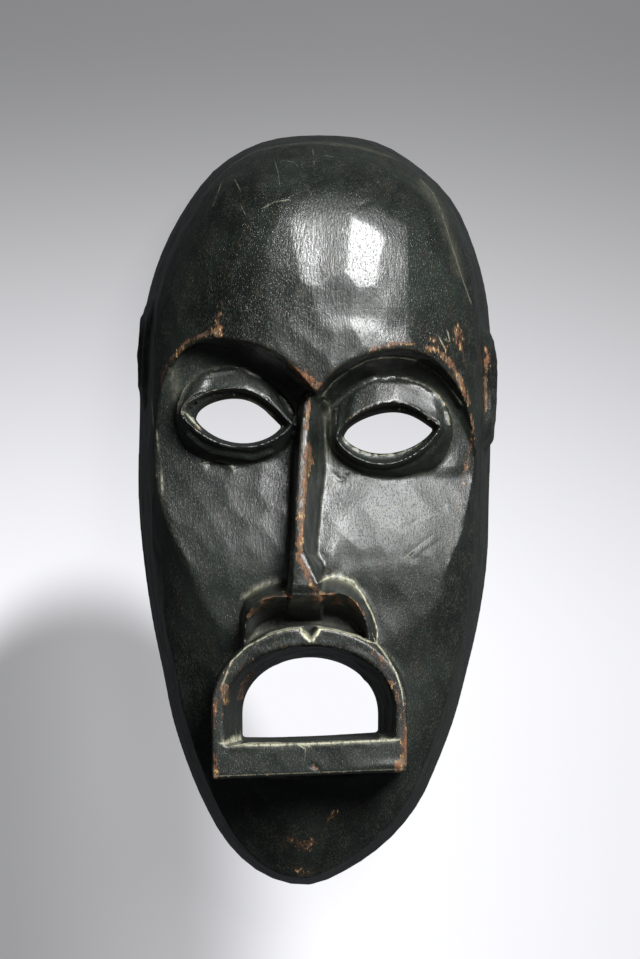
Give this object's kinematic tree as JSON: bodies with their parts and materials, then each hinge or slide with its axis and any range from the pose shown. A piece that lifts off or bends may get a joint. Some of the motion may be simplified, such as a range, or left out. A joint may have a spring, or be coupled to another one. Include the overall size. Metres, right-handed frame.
{
  "type": "carved wooden face mask",
  "caption": "Tall oval face mask carved from one piece of dark painted wood, with pierced almond eyes, a bar nose and a gaping arched mouth, hollow behind.",
  "frame": {"origin": "middle of the flat back rim, on the surface that the mask lies on", "axes": "+X towards the right of the face as a viewer in front of it sees it, +Y up the face towards the crown, +Z out of the face"},
  "size_m": [0.1624, 0.34, 0.103],
  "materials": {
    "painted_wood": "aged dark green-black paint, semi-gloss, worn through to the wood on the ridges"
  },
  "bodies": {
    "root": {"mask": "painted_wood"}
  },
  "joints": []
}
